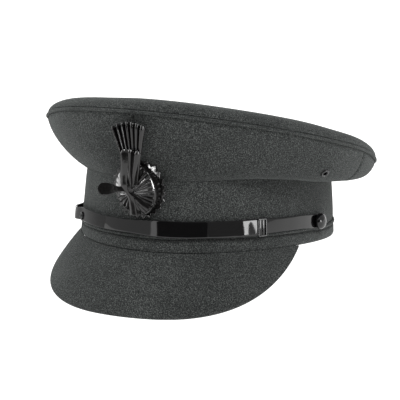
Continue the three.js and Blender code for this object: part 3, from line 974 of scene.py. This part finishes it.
def ribbon_stem():
    """The stem's top is a fold: its right half falls back, and its upper edge is rolled."""
    def line(u):
        spot = Vector([through(STEM, key, u) for key in ("across", "up", "depth")])
        return spot + Vector((0, 0, KNOT["leather"])), Vector((1, 0, 0)), Vector((0, 0, 1))

    def shape(u, v):
        opened = max(0, 1 - u / STEM_FOLD["reach"])
        fold = opened * max(0, v - lerp(*STEM_FOLD["hinge"], opened))
        rounded = v * v * max(0, 1 - u / STEM_FOLD["round"])
        rolled = 1.2 * max(0, 1 - u / STEM_FOLD["roll"]) ** 2
        return STEM_FOLD["aside"] * fold, -rounded, 0.5 * (1 - v * v) - STEM_FOLD["fall"] * fold - rolled

    return ribbon("ribbon_stem", line, lambda u: max(0.4, through(STEM, "half", u)), shape)


def ribbon_tail(name, tail):
    turn, tip, twist = (math.radians(tail[key]) for key in ("turn", "tip", "twist"))
    along = Vector((math.cos(turn) * math.cos(tip), math.sin(turn) * math.cos(tip), math.sin(tip)))
    across = Matrix.Rotation(twist, 3, along) @ Vector((-math.sin(turn), math.cos(turn), 0))
    out = along.cross(across).normalized()
    knot = Vector((KNOT["across"] + tail["aside"], KNOT["up"] + tail["above"], KNOT["depth"]))

    def line(u):
        curl = 0.2 * math.sin(2.2 * math.pi * u)
        return knot + along * (u * tail["length"]) + out * curl, across, out

    def half(u):
        wide = lerp(tail["neck"], tail["paddle"], ease(u, 0.3, 0.75))
        return max(0.3, wide * math.sqrt(max(0, 1 - max(0, (u - 0.82) / 0.18) ** 2)))

    return ribbon(name, line, half, lambda u, v: (0, 0, tail["dish"] * (1 - v * v)))


def ribbon_knot(finish):
    bpy.ops.object.select_all(action="DESELECT")
    bpy.ops.mesh.primitive_uv_sphere_add(segments=32, ring_count=18, radius=1)
    knot = new_piece("cockade_ribbon_knot")
    open_mesh(knot)
    pick(knot, lambda co: abs(co.x) < 0.22)
    bpy.ops.transform.resize(value=(1, 0.86, 0.8), center_override=(0, 0, 0))
    pick(knot, lambda co: abs(co.y) < 0.12)
    bpy.ops.transform.resize(value=(1, 1, 0.88), center_override=(0, 0, 0))
    bpy.ops.mesh.select_all(action="SELECT")
    bpy.ops.transform.resize(value=tuple(r * MM for r in KNOT["radii"]), center_override=(0, 0, 0))
    bpy.ops.transform.translate(value=[KNOT[key] * MM for key in ("across", "up", "depth")])
    close_mesh()
    smooth(knot)
    join(knot, ribbon_stem(), *[ribbon_tail("ribbon_tail_%d" % i, tail) for i, tail in enumerate(TAILS)])
    place(knot, BADGE)
    return hand_over(knot, finish, "patent_leather", "cockade_knot", angle=40)


# Camera, floor and light

def way_to(turn, rise):
    turn, rise = math.radians(turn), math.radians(rise)
    return Vector((math.sin(turn) * math.cos(rise), -math.cos(turn) * math.cos(rise), math.sin(rise)))


def facing_cap(turn, rise, distance):
    """A place round the cap, and the rotation that faces it."""
    way = way_to(turn, rise)
    return STUDIO_AIM + way * distance, way.to_track_quat("Z", "Y").to_euler()


def camera():
    turn, roll = math.radians(CAMERA["turn"]), math.radians(CAMERA["roll"])
    back = way_to(CAMERA["turn"], CAMERA["rise"])
    sideways = Vector((math.cos(turn), math.sin(turn), 0))
    upright = back.cross(sideways)
    right = sideways * math.cos(roll) + upright * math.sin(roll)
    up = upright * math.cos(roll) - sideways * math.sin(roll)
    shown_x, shown_y = CAMERA["rim"]
    aim = (right * (CAMERA["middle"] - shown_x) + up * (shown_y - CAMERA["middle"])) / CAMERA["scale"]
    pose = Matrix((right, up, back)).transposed().to_4x4()
    pose.translation = (aim + back * CAMERA["distance"]) * MM
    eye = bpy.data.cameras.new("photo_camera")
    eye.lens = CAMERA["lens"]
    eye.sensor_width = CAMERA["sensor"]
    eye.clip_start = 0.05
    eye.clip_end = 50
    holder = bpy.data.objects.new("photo_camera", eye)
    bpy.context.scene.collection.objects.link(holder)
    holder.matrix_world = REST @ pose
    bpy.context.scene.camera = holder


def floor():
    bpy.ops.object.select_all(action="DESELECT")
    bpy.ops.mesh.primitive_plane_add(size=12, location=(0, 0, -0.0003))
    sheet = new_piece("pale_floor")
    finish = Finish("pale_floor")
    where = finish.place_mm()
    shade = finish.blend(finish.grain(where, 0.01, 2), (0.15, 0.15, 0.148, 1), (0.16, 0.16, 0.157, 1))
    sheet.data.materials.append(finish.surface(Base_Color=shade, Roughness=0.9, Specular_IOR_Level=0.0,
                                               Emission_Color=(1, 1, 0.995, 1), Emission_Strength=1.3))


def card(name, turn, rise, distance, width, height, grey, leaning=None):
    """A studio card, seen only in the gloss. A leaning one is round."""
    place_at, facing = facing_cap(turn, rise, distance)
    bpy.ops.object.select_all(action="DESELECT")
    if leaning is None:
        bpy.ops.mesh.primitive_plane_add(size=1, location=place_at, rotation=facing)
    else:
        bpy.ops.mesh.primitive_circle_add(vertices=48, radius=0.5, fill_type="NGON", location=place_at,
                                          rotation=facing)
    sheet = new_piece(name)
    sheet.scale = (width, height, 1)
    for corner in sheet.data.vertices:
        corner.co.x += corner.co.y * (leaning or 0)
    finish = Finish(name)
    sheet.data.materials.append(finish.surface(Base_Color=(grey, grey, grey, 1), Roughness=1.0,
                                               Specular_IOR_Level=0.0))
    sheet.visible_camera = False
    sheet.visible_diffuse = False
    sheet.visible_shadow = False


def softbox(name, turn, rise, distance, width, height, power, glint=False):
    """A soft light. A glint shows in the gloss and leaves the cloth alone."""
    lamp = bpy.data.lights.new(name, "AREA")
    lamp.shape = "RECTANGLE"
    lamp.size, lamp.size_y = width, height
    lamp.energy = power
    holder = bpy.data.objects.new(name, lamp)
    holder.location, holder.rotation_euler = facing_cap(turn, rise, distance)
    holder.visible_camera = False
    holder.visible_diffuse = not glint
    holder.visible_glossy = glint
    bpy.context.scene.collection.objects.link(holder)
    return holder


def shine_on(pieces, name, *where):
    """A soft light that shines on a few glossy pieces alone."""
    lit = bpy.data.collections.new(name + "_pieces")
    for piece in pieces:
        lit.objects.link(piece)
    softbox(name, *where, glint=True).light_linking.receiver_collection = lit


def studio():
    world = bpy.data.worlds.new("white_studio")
    world.use_nodes = True
    world.node_tree.nodes["Background"].inputs["Color"].default_value = (1, 1, 1, 1)
    world.node_tree.nodes["Background"].inputs["Strength"].default_value = 0.7
    bpy.context.scene.world = world
    bpy.context.scene.view_settings.view_transform = "Standard"
    for name, where in CARDS.items():
        card(name, *where)
    for name, where in GLINTS.items():
        softbox(name, *where, glint=True)
    for name, where in SOFTBOXES.items():
        softbox(name, *where)


camera()
floor()
studio()

WOOL = wool_cloth()
PATENT = patent_leather()
LEATHER = cockade_leather()
GLOSS = black_gloss()

crown_top(WOOL)
piping(WOOL, "crown_piping_cord", "crown_piping", lambda a: welt_at(a, CROWN_CORD["share"]),
       CROWN_CORD["radius"])
quarter(WOOL, "quarter_front_left", 0, SIDE["seam_angle"], EYELET["angle"])
quarter(WOOL, "quarter_front_right", -SIDE["seam_angle"], 0, -EYELET["angle"])
quarter(WOOL, "quarter_back_left", SIDE["seam_angle"], 180)
quarter(WOOL, "quarter_back_right", 180, 360 - SIDE["seam_angle"])
band_ring(WOOL, "band_cloth", "band", BAND_PIPING["height"] + BAND_PIPING["radius"] + GAP, BAND["top"],
          (0.8, 0.1), piping_lift, band_lift)
band_ring(WOOL, "band_foot_cloth", "band_foot", 0, FOOT_HEIGHT, (0.6, 1.7), level, piping_lift)
piping(WOOL, "band_piping_cord", "band_piping",
       lambda a: on_band(a, BAND_PIPING["height"] + piping_lift(a), -BAND_PIPING["sunk"]),
       BAND_PIPING["radius"], (BAND_PIPING["height"] - 4, BAND_PIPING["height"] + 4, piping_lift))
peak_sheet(WOOL)

strap(PATENT, "strap_over_leather", "strap_over", OVER_STRAP, over_standoff, width_at,
      OVER_STRAP["loop_from"], STUD["angle"])
strap(PATENT, "strap_under_leather", "strap_under", UNDER_STRAP, lambda a: STRAP["under"], hidden_width_at)
slides = [slide(GLOSS, "slide_left", SLIDE["left_angle"], STRAP["under"] + GAP),
          slide(GLOSS, "slide_right", SLIDE["right_angle"], STRAP["under"] + GAP, SLIDE["right_share"])]
buttons = [side_button(GLOSS, "button_left", BUTTON["angle"]),
           side_button(GLOSS, "button_right", -BUTTON["angle"])]
eyelets = [vent_eyelet(GLOSS, "eyelet_left", EYELET["angle"]),
           vent_eyelet(GLOSS, "eyelet_right", -EYELET["angle"])]

ring = pinked_ring(LEATHER)
rosette = pleated_rosette(LEATHER)
tall_fan = pleated_fan(LEATHER, "cockade_tall_fan", "cockade_fan", FAN)
short_fan = pleated_fan(LEATHER, "cockade_short_fan", "cockade_fan_front", FRONT_FAN)
knot = ribbon_knot(LEATHER)
cockade = [ring, rosette, tall_fan, short_fan, knot]

shine_on(cockade, "cockade_top", 15, 75, 1.0, 0.14, 0.14, 2.5)
shine_on(cockade, "cockade_left", -88, 26, 1.0, 0.9, 0.8, 13)
shine_on(cockade, "cockade_right", 95, 20, 1.0, 0.25, 0.25, 3)
shine_on([rosette], "rosette_front", -10, 13, 1.0, 0.25, 0.2, 18)
shine_on([rosette], "rosette_rim", -26, 4, 1.0, 0.15, 0.5, 14)
shine_on([ring], "ring_front", 5, 14, 1.0, 0.25, 0.25, 6)
shine_on(slides + eyelets, "slide_glint", 95, -6, 1.0, 1.5, 0.9, 9)
shine_on(buttons, "button_glint", 60, 50, 1.1, 0.3, 0.3, 6)
